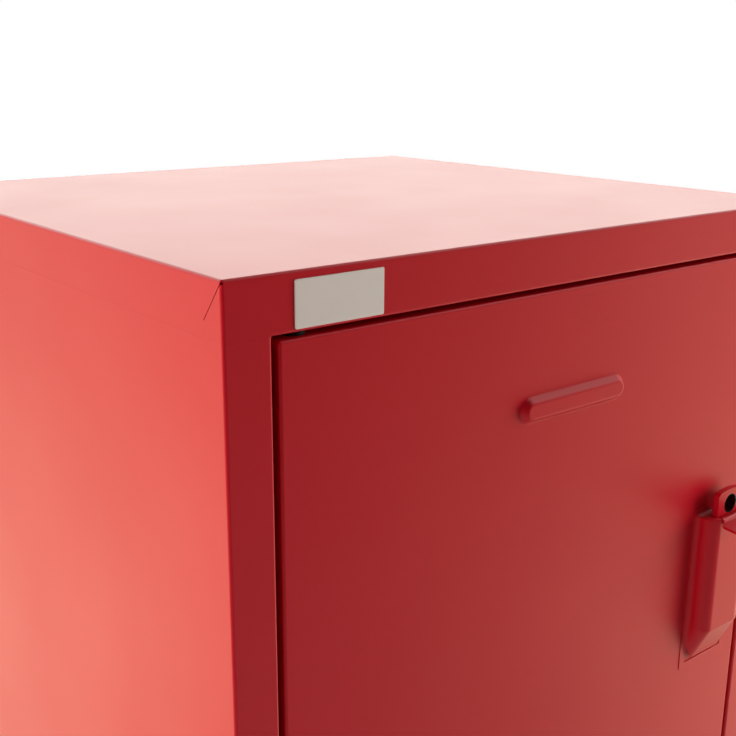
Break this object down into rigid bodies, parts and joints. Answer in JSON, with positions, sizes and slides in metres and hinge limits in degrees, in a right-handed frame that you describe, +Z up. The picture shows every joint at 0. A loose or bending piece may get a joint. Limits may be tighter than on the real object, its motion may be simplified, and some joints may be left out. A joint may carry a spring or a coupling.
{
  "type": "tool cabinet",
  "caption": "Low red sheet-steel tool cabinet with a hinged door, a lift handle with a padlock eye, a shelf and swivel castors.",
  "frame": {"origin": "on the floor, under the middle of everything the cabinet takes up, handle included", "axes": "+Z up; the door faces -Y; +X to the right of someone facing the door"},
  "size_m": [0.4, 0.411, 0.57],
  "materials": {
    "red_paint": "satin powder coat",
    "zinc_steel": "bright zinc plate",
    "nylon": "natural nylon",
    "black_nylon": "moulded",
    "bumper_rubber": "matt",
    "hub_plastic": "moulded",
    "grey_tread": "matt"
  },
  "bodies": {
    "cabinet": {"top_pan": "red_paint", "base_pan": "red_paint", "left_side_panel": "red_paint", "right_side_panel": "red_paint", "back_panel": "red_paint", "floor_tray": "red_paint", "shelf": "red_paint", "shelf_clips": "red_paint", "latch_keepers": "zinc_steel", "door_bumpers": "bumper_rubber", "upper_hinge_pin": "zinc_steel", "lower_hinge_pin": "zinc_steel", "castor_bolts": "zinc_steel", "castor_nuts": "zinc_steel", "castor_plates": "zinc_steel", "castor_bearings": "zinc_steel", "castor_kingpins": "zinc_steel"},
    "door": {"door_skin": "red_paint", "upper_hinge_bush": "black_nylon", "lower_hinge_bush": "black_nylon", "lock_channel": "red_paint", "latch_guides": "nylon", "handle_housing": "red_paint", "padlock_staple": "red_paint", "staple_rivets": "zinc_steel"},
    "latch": {"lift_trigger": "red_paint", "latch_bar": "zinc_steel", "latch_rivets": "zinc_steel"},
    "front_left_castor": {"front_left_fork": "zinc_steel", "front_left_axle": "zinc_steel", "front_left_brake_rivets": "zinc_steel"},
    "front_left_wheel": {"front_left_tyre": "grey_tread", "front_left_hub": "hub_plastic"},
    "front_left_brake": {"front_left_brake_pedal": "zinc_steel"},
    "front_right_castor": {"front_right_fork": "zinc_steel", "front_right_axle": "zinc_steel", "front_right_brake_rivets": "zinc_steel"},
    "front_right_wheel": {"front_right_tyre": "grey_tread", "front_right_hub": "hub_plastic"},
    "front_right_brake": {"front_right_brake_pedal": "zinc_steel"},
    "rear_left_castor": {"rear_left_fork": "zinc_steel", "rear_left_axle": "zinc_steel"},
    "rear_left_wheel": {"rear_left_tyre": "grey_tread", "rear_left_hub": "hub_plastic"},
    "rear_right_castor": {"rear_right_fork": "zinc_steel", "rear_right_axle": "zinc_steel"},
    "rear_right_wheel": {"rear_right_tyre": "grey_tread", "rear_right_hub": "hub_plastic"}
  },
  "joints": [
    {"name": "door_hinge", "type": "hinge", "parent": "cabinet", "child": "door", "pos_m": [-0.1626, -0.166, 0.32], "axis": [0, 0, -1], "range_deg": [0, 110]},
    {"name": "latch_lift", "type": "slide", "parent": "door", "child": "latch", "axis": [0, 0, 1], "range_m": [0, 0.012]},
    {"name": "front_left_swivel", "type": "hinge", "parent": "cabinet", "child": "front_left_castor", "pos_m": [-0.158, -0.1225, 0.06], "axis": [0, 0, 1], "continuous": true},
    {"name": "front_left_roll", "type": "hinge", "parent": "front_left_castor", "child": "front_left_wheel", "pos_m": [-0.158, -0.1005, 0.025], "axis": [1, 0, 0], "continuous": true},
    {"name": "front_left_brake_press", "type": "hinge", "parent": "front_left_castor", "child": "front_left_brake", "pos_m": [-0.158, -0.1165, 0.044], "axis": [-1, 0, 0], "range_deg": [0, 5.5]},
    {"name": "front_right_swivel", "type": "hinge", "parent": "cabinet", "child": "front_right_castor", "pos_m": [0.158, -0.1225, 0.06], "axis": [0, 0, 1], "continuous": true},
    {"name": "front_right_roll", "type": "hinge", "parent": "front_right_castor", "child": "front_right_wheel", "pos_m": [0.158, -0.1005, 0.025], "axis": [1, 0, 0], "continuous": true},
    {"name": "front_right_brake_press", "type": "hinge", "parent": "front_right_castor", "child": "front_right_brake", "pos_m": [0.158, -0.1165, 0.044], "axis": [-1, 0, 0], "range_deg": [0, 5.5]},
    {"name": "rear_left_swivel", "type": "hinge", "parent": "cabinet", "child": "rear_left_castor", "pos_m": [-0.158, 0.1535, 0.06], "axis": [0, 0, 1], "continuous": true},
    {"name": "rear_left_roll", "type": "hinge", "parent": "rear_left_castor", "child": "rear_left_wheel", "pos_m": [-0.158, 0.1755, 0.025], "axis": [1, 0, 0], "continuous": true},
    {"name": "rear_right_swivel", "type": "hinge", "parent": "cabinet", "child": "rear_right_castor", "pos_m": [0.158, 0.1535, 0.06], "axis": [0, 0, 1], "continuous": true},
    {"name": "rear_right_roll", "type": "hinge", "parent": "rear_right_castor", "child": "rear_right_wheel", "pos_m": [0.158, 0.1755, 0.025], "axis": [1, 0, 0], "continuous": true}
  ]
}
